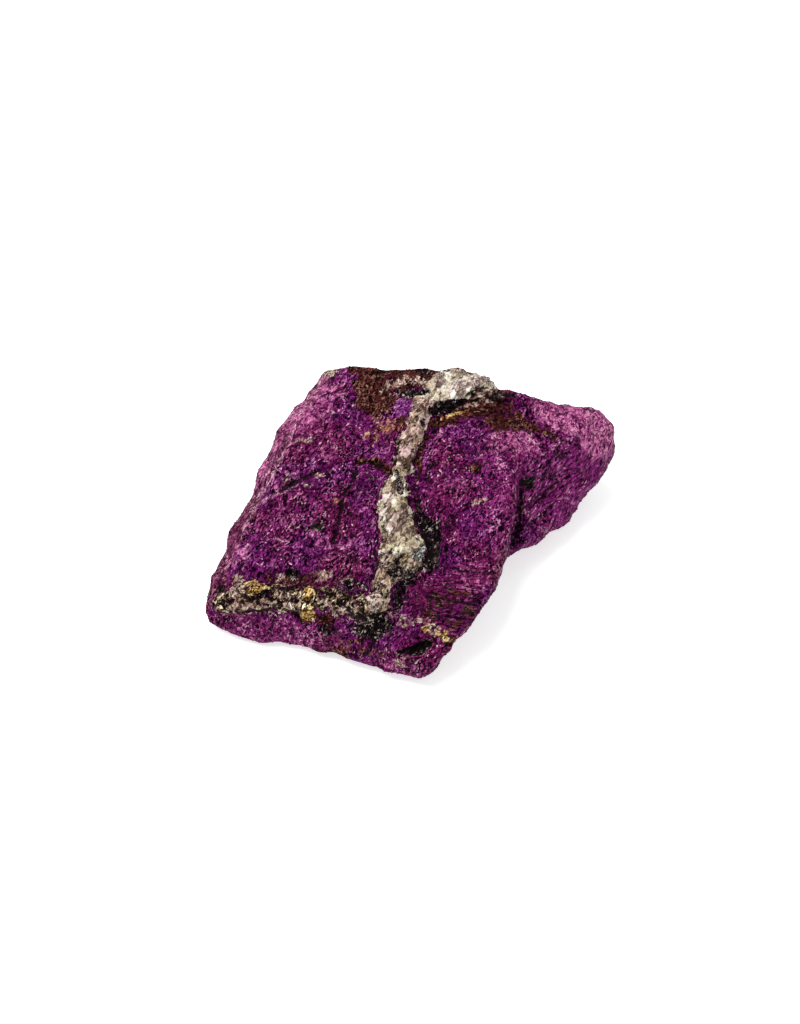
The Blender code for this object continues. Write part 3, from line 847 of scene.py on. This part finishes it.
@dataclass
class StoneSurface:
    """The whole outer surface of the stone. Sizes are in millimetres."""

    view: PictureView
    grid: float = 0.25
    smoothing: int = 5
    merge_metres: float = 1e-7
    stray: float = 0.5
    line_stray: float = 0.175
    stray_size: float = 1.5
    stray_seeds: tuple[int, int] = (21, 22)
    front_turn: Pair = (-0.1, 0.25)
    line_front: float = 0.5
    patch_edge: Pair = (0.55, 1.35)
    band_edge: Pair = (0.7, 1.3)
    outside: float = -1.0
    blotch_size: float = 5.0
    blotch_seed: int = 31
    blotch_brown: Triple = (0.15, 0.5, 0.8)
    blotch_dust: Triple = (0.0, 0.6, 0.4)
    grain_size: float = 0.8
    grain_height: float = 0.22
    vein_grain_size: float = 1.3
    vein_grain_height: float = 0.7
    pale_rise: float = 0.14
    dark_sink: float = 0.22
    groove_depth: float = 0.2
    groove_edge: Pair = (-0.2, 0.1)
    foot_margin: float = 0.5

    def base(self) -> Object:
        """Copies the solid, merges its corners and gives it a fine even grid.

        Returns:
            The gridded stone.
        """
        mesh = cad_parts[STONE_NODE].data.copy()
        shape = bmesh.new()
        shape.from_mesh(mesh)
        bmesh.ops.remove_doubles(shape, verts=shape.verts, dist=self.merge_metres)
        shape.to_mesh(mesh)
        shape.free()
        stone = bpy.data.objects.new("stone_surface", mesh)
        bpy.context.scene.collection.objects.link(stone)
        grid = stone.modifiers.new("fine grid", "REMESH")
        grid.mode = "VOXEL"
        grid.voxel_size = self.grid * MM
        soften = stone.modifiers.new("soften", "SMOOTH")
        soften.iterations = self.smoothing
        stone.data = plain_mesh(stone)
        stone.modifiers.clear()
        return stone

    def tones(self, stone: Object) -> None:
        """Writes the strength of each tone to the stone's points, as attributes.

        Args:
            stone: the gridded stone.
        """
        mesh = stone.data
        points = np.array([v.co for v in mesh.vertices]) / MM
        facing = -np.array([n.vector for n in mesh.vertex_normals]) @ self.view.sight()
        seen = self.view.seen(points)
        stray = np.stack([layered_noise(points, self.stray_size, seed) for seed in self.stray_seeds], axis=1)
        wavy = seen + self.stray * stray
        slight = seen + self.line_stray * stray
        front = smooth_step(*self.front_turn, facing)
        strength = {tone: np.zeros(len(points)) for tone in Tone}
        for mark in (VEIN, VEIN_BRANCH, *STAINS):
            cover = self.patch(wavy, mark) if isinstance(mark, Patch) else self.band(wavy, mark)
            if mark.tone not in (Tone.VEIN, Tone.CRUST):
                cover = cover * front
            strength[mark.tone] = np.maximum(strength[mark.tone], cover * mark.strength)
        for tone in (Tone.SEAM, Tone.RIM):
            strength[tone] = np.full(len(points), self.outside)
        for mark in LINES:
            inside = np.where(front > self.line_front, self.inside(slight, mark), self.outside)
            strength[mark.tone] = np.maximum(strength[mark.tone], inside)

        blotch = layered_noise(points, self.blotch_size, self.blotch_seed)
        low, high, most = self.blotch_brown
        strength[Tone.BROWN] = np.maximum(strength[Tone.BROWN], (1.0 - front) * smooth_step(low, high, blotch) * most)
        low, high, most = self.blotch_dust
        strength[Tone.DUST] = np.maximum(strength[Tone.DUST], smooth_step(low, high, -blotch) * most)
        for tone, values in strength.items():
            mesh.attributes.new(tone.value, "FLOAT", "POINT").data.foreach_set("value", values.astype(np.float32))

    def patch(self, seen: np.ndarray, mark: Patch) -> np.ndarray:
        """How strongly an oval patch covers each point.

        Args:
            seen: N x 2 places in the picture, in millimetres.
            mark: the patch.

        Returns:
            0 to 1 for each point.
        """
        turn = math.radians(mark.tilt)
        off = seen - (mark.across, mark.up)
        along = (off[:, 0] * math.cos(turn) + off[:, 1] * math.sin(turn)) / mark.wide
        over = (off[:, 1] * math.cos(turn) - off[:, 0] * math.sin(turn)) / mark.tall
        return 1.0 - smooth_step(*self.patch_edge, np.hypot(along, over))

    def stretches(self, seen: np.ndarray, route: Route) -> list[tuple[np.ndarray, np.ndarray]]:
        """Measures points against each stretch of a route.

        Args:
            seen: N x 2 places in the picture, in millimetres.
            route: points of (across, up, half width).

        Returns:
            For each stretch, how far each point is from it and its half width there.
        """
        found = []
        for (ax, ay, aw), (bx, by, bw) in zip(route, route[1:]):
            start, step = np.array((ax, ay)), np.array((bx - ax, by - ay))
            share = np.clip((seen - start) @ step / (step @ step), 0.0, 1.0)
            gap = np.linalg.norm(seen - start - share[:, None] * step, axis=1)
            found.append((gap, aw + (bw - aw) * share))
        return found

    def band(self, seen: np.ndarray, mark: Band) -> np.ndarray:
        """How strongly a winding band covers each seen point."""
        nearest = np.min([gap / half for gap, half in self.stretches(seen, mark.route)], axis=0)
        return 1.0 - smooth_step(*self.band_edge, nearest)

    def inside(self, seen: np.ndarray, mark: Line) -> np.ndarray:
        """How deep inside a thin line each seen point is, in millimetres, and below 0 outside it."""
        deepest = np.max([half - gap for gap, half in self.stretches(seen, mark.route)], axis=0)
        return np.maximum(deepest, self.outside)

    def sizes(self) -> dict[str, float]:
        """The sizes of the relief, by the name of the tree's input."""
        return {"Grain Size": self.grain_size, "Grain Height": self.grain_height,
                "Vein Grain Height": self.vein_grain_height, "Pale Rise": self.pale_rise,
                "Dark Sink": self.dark_sink, "Groove Depth": self.groove_depth, "Foot Margin": self.foot_margin}

    def relief_tree(self) -> NodeTree:
        """The tree that roughens the surface along its normals.

        Returns:
            The tree.
        """
        bench, given, result = start_tree("fine relief", self.sizes())
        place = bench.add("ShaderNodeVectorMath", {0: bench.add("GeometryNodeInputPosition").outputs[0],
                                                   1: (1 / MM,) * 3}, operation="MULTIPLY").outputs[0]
        vein, dark, beige, ochre, seam = (
            bench.stored(tone) for tone in (Tone.VEIN, Tone.BLACK, Tone.BEIGE, Tone.OCHRE, Tone.SEAM))
        body = bench.add("ShaderNodeTexNoise", {
            "Vector": place, "Scale": bench.sum("DIVIDE", 1.0, given["Grain Size"]),
            "Detail": 3.0, "Roughness": 0.7}).outputs[0]
        body = bench.times(bench.sum("SUBTRACT", body, 0.5), given["Grain Height"])
        lumps = bench.times(bench.facets(place, self.vein_grain_size), given["Vein Grain Height"])
        out = bench.sum("ADD", body, bench.times(lumps, vein))
        pale = bench.sum("MAXIMUM", beige, ochre)
        out = bench.sum("ADD", out, bench.times(pale, given["Pale Rise"]))
        out = bench.sum("SUBTRACT", out, bench.times(dark, given["Dark Sink"]))
        groove = bench.step(seam, *self.groove_edge)
        out = bench.sum("SUBTRACT", out, bench.times(groove, given["Groove Depth"]))
        height = bench.add("ShaderNodeSeparateXYZ", {0: place}).outputs["Z"]
        foot = bench.sum("DIVIDE", height, given["Foot Margin"], clamp=True)
        out = bench.times(bench.times(out, foot), MM)
        offset = bench.add("ShaderNodeVectorMath", {
            0: bench.add("GeometryNodeInputNormal").outputs[0], "Scale": out}, operation="SCALE").outputs[0]
        moved = bench.add("GeometryNodeSetPosition", {"Geometry": given["Geometry"], "Offset": offset})
        real = bench.add("GeometryNodeRealizeInstances", {0: moved.outputs[0]})
        dressed = bench.add("GeometryNodeSetMaterial", {
            "Geometry": real.outputs[0], "Material": given["Finish"]})
        bench.tree.links.new(dressed.outputs[0], result.inputs[0])
        return bench.tree

    def build(self, finish: Material) -> Object:
        """Makes the finished surface.

        Args:
            finish: the stone's material.

        Returns:
            The piece, which stands for the solid.
        """
        stone = self.base()
        self.tones(stone)
        stone.data = run_tree(stone, self.relief_tree(), self.sizes(), finish)
        stone.data.shade_smooth()
        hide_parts(STONE_NODE)
        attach(stone, "root")
        return stone


@dataclass
class SurfaceGrains:
    """Small blocks that stand on the stone where one tone is. Sizes are in millimetres."""

    name: str
    slot: str
    on_vein: bool
    per_square_mm: float
    smallest: float
    largest: float
    flatness: float
    seed: int
    lean: float = 0.5
    sink: float = 0.2
    foot_margin: float = 0.5
    longer: Pair = (0.7, 1.4)
    on_edge: Pair = (0.35, 0.6)
    off_edge: Pair = (0.5, 0.2)

    def sizes(self) -> dict[str, float]:
        """The sizes of the blocks, by the name of the tree's input."""
        return {"Per Square Metre": self.per_square_mm / (MM * MM), "Smallest": self.smallest,
                "Largest": self.largest, "Flatness": self.flatness, "Lean": self.lean, "Sink": self.sink,
                "Foot Margin": self.foot_margin}

    def drawn(self, bench: NodeBench, low: object, high: object, order: int) -> Socket:
        """A number drawn for each block, with its own seed."""
        return bench.add("FunctionNodeRandomValue", {2: low, 3: high, "Seed": self.seed + order},
                         data_type="FLOAT").outputs[1]

    def tree(self) -> NodeTree:
        """The tree that scatters the blocks and makes them one mesh.

        Returns:
            The tree.
        """
        bench, given, result = start_tree(self.name + " scatter", self.sizes())
        chance = bench.step(bench.stored(Tone.VEIN), *(self.on_edge if self.on_vein else self.off_edge))
        height = bench.add("ShaderNodeSeparateXYZ", {
            0: bench.add("GeometryNodeInputPosition").outputs[0]}).outputs["Z"]
        clear = bench.sum("GREATER_THAN", height, bench.times(given["Foot Margin"], MM))
        density = bench.times(bench.times(chance, clear), given["Per Square Metre"])
        points = bench.add("GeometryNodeDistributePointsOnFaces", {
            "Mesh": given["Geometry"], "Density": density, "Seed": self.seed})
        marked = bench.add("GeometryNodeStoreNamedAttribute", {
            "Geometry": points.outputs["Points"], "Name": GRAIN, "Value": self.drawn(bench, -0.5, 0.5, 1)},
            data_type="FLOAT", domain="POINT")
        block = bench.add("GeometryNodeMeshCube", {"Size": (1.0, 1.0, 1.0)})
        side = bench.times(self.drawn(bench, given["Smallest"], given["Largest"], 2), MM)
        scale = bench.add("ShaderNodeCombineXYZ", {
            0: bench.times(side, self.drawn(bench, *self.longer, 3)), 1: side,
            2: bench.times(side, given["Flatness"])}).outputs[0]
        turn = bench.add("FunctionNodeRandomValue", {
            0: (-1.0, -1.0, -math.pi), 1: (1.0, 1.0, math.pi), "Seed": self.seed + 4}, data_type="FLOAT_VECTOR")
        swing = bench.add("ShaderNodeVectorMath", {0: turn.outputs[0], 1: bench.add("ShaderNodeCombineXYZ", {
            0: given["Lean"], 1: given["Lean"], 2: 1.0}).outputs[0]}, operation="MULTIPLY")
        placed = bench.add("GeometryNodeInstanceOnPoints", {
            "Points": marked.outputs[0], "Instance": block.outputs[0],
            "Rotation": points.outputs["Rotation"], "Scale": scale})
        spun = bench.add("GeometryNodeRotateInstances", {
            "Instances": placed.outputs[0], "Rotation": swing.outputs[0], "Local Space": True})
        low = bench.add("ShaderNodeCombineXYZ", {
            2: bench.times(given["Sink"], -1.0)}).outputs[0]
        sunk = bench.add("GeometryNodeTranslateInstances", {
            "Instances": spun.outputs[0], "Translation": low, "Local Space": True})
        real = bench.add("GeometryNodeRealizeInstances", {0: sunk.outputs[0]})
        dressed = bench.add("GeometryNodeSetMaterial", {
            "Geometry": real.outputs[0], "Material": given["Finish"]})
        bench.tree.links.new(dressed.outputs[0], result.inputs[0])
        return bench.tree

    def build(self, stone: Object, finish: Material) -> Object:
        """Makes the blocks.

        Args:
            stone: the surface that they stand on.
            finish: their material.

        Returns:
            The piece.
        """
        ground = bpy.data.objects.new(self.name, stone.data.copy())
        bpy.context.scene.collection.objects.link(ground)
        ground.data = run_tree(ground, self.tree(), self.sizes(), finish)
        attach(ground, "root")
        return ground


@dataclass(frozen=True)
class Studio:
    """A pale floor that glows a little, and soft light from above and a little from the left."""

    floor_side: float = 4.0
    floor_colour: Colour = (0.88, 0.975, 0.925, 1.0)
    floor_glow: float = 0.60
    floor_roughness: float = 0.9
    sky: float = 0.55
    key_power: float = 6.5
    key_side: float = 0.6
    key_place: Triple = (-0.3, 0.06, 0.75)

    def build(self) -> None:
        """Makes the floor, the sky and the key light."""
        bpy.ops.mesh.primitive_plane_add(size=self.floor_side)
        floor = bpy.context.object
        floor.name = "floor"
        paint = bpy.data.materials.new("pale floor")
        paint.use_nodes = True
        shader = paint.node_tree.nodes["Principled BSDF"]
        shader.inputs["Base Color"].default_value = self.floor_colour
        shader.inputs["Roughness"].default_value = self.floor_roughness
        shader.inputs["Specular IOR Level"].default_value = 0.0
        shader.inputs["Emission Color"].default_value = WHITE
        shader.inputs["Emission Strength"].default_value = self.floor_glow
        floor.data.materials.append(paint)

        world = bpy.data.worlds.new("soft sky")
        world.use_nodes = True
        world.node_tree.nodes["Background"].inputs["Color"].default_value = WHITE
        world.node_tree.nodes["Background"].inputs["Strength"].default_value = self.sky
        bpy.context.scene.world = world

        lamp = bpy.data.lights.new("key light", "AREA")
        lamp.energy = self.key_power
        lamp.size = self.key_side
        key = bpy.data.objects.new("key light", lamp)
        key.location = self.key_place
        key.rotation_euler = (-Vector(self.key_place)).to_track_quat("-Z", "Y").to_euler()
        bpy.context.scene.collection.objects.link(key)
        bpy.context.scene.view_settings.view_transform = "Standard"


def triangles(piece: Object) -> int:
    """How many triangles a piece has."""
    return sum(len(p.vertices) - 2 for p in piece.data.polygons)


def main() -> None:
    """Builds the scene and logs how many triangles the dressed stone and each set of blocks have."""
    log = logging.getLogger("specimen")
    logging.basicConfig(level=logging.INFO, format="%(message)s")
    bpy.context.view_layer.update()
    view = PictureView()
    stone_finish = StoneFinish().build()
    stone = StoneSurface(view).build(stone_finish)
    log.info("%s: %d triangles", stone.name, triangles(stone))
    for grains in (
        SurfaceGrains("violet_blocks", "purpurite", on_vein=False, per_square_mm=3.4, smallest=0.10, largest=0.24,
                      flatness=0.5, seed=40),
        SurfaceGrains("vein_grains", "pale_vein", on_vein=True, per_square_mm=2.6, smallest=0.15, largest=0.46,
                      flatness=0.45, seed=60),
    ):
        piece = grains.build(stone, stone_finish)
        log.info("%s: %d triangles", piece.name, triangles(piece))
    Studio().build()
    view.build()


if __name__ == "__main__":
    main()
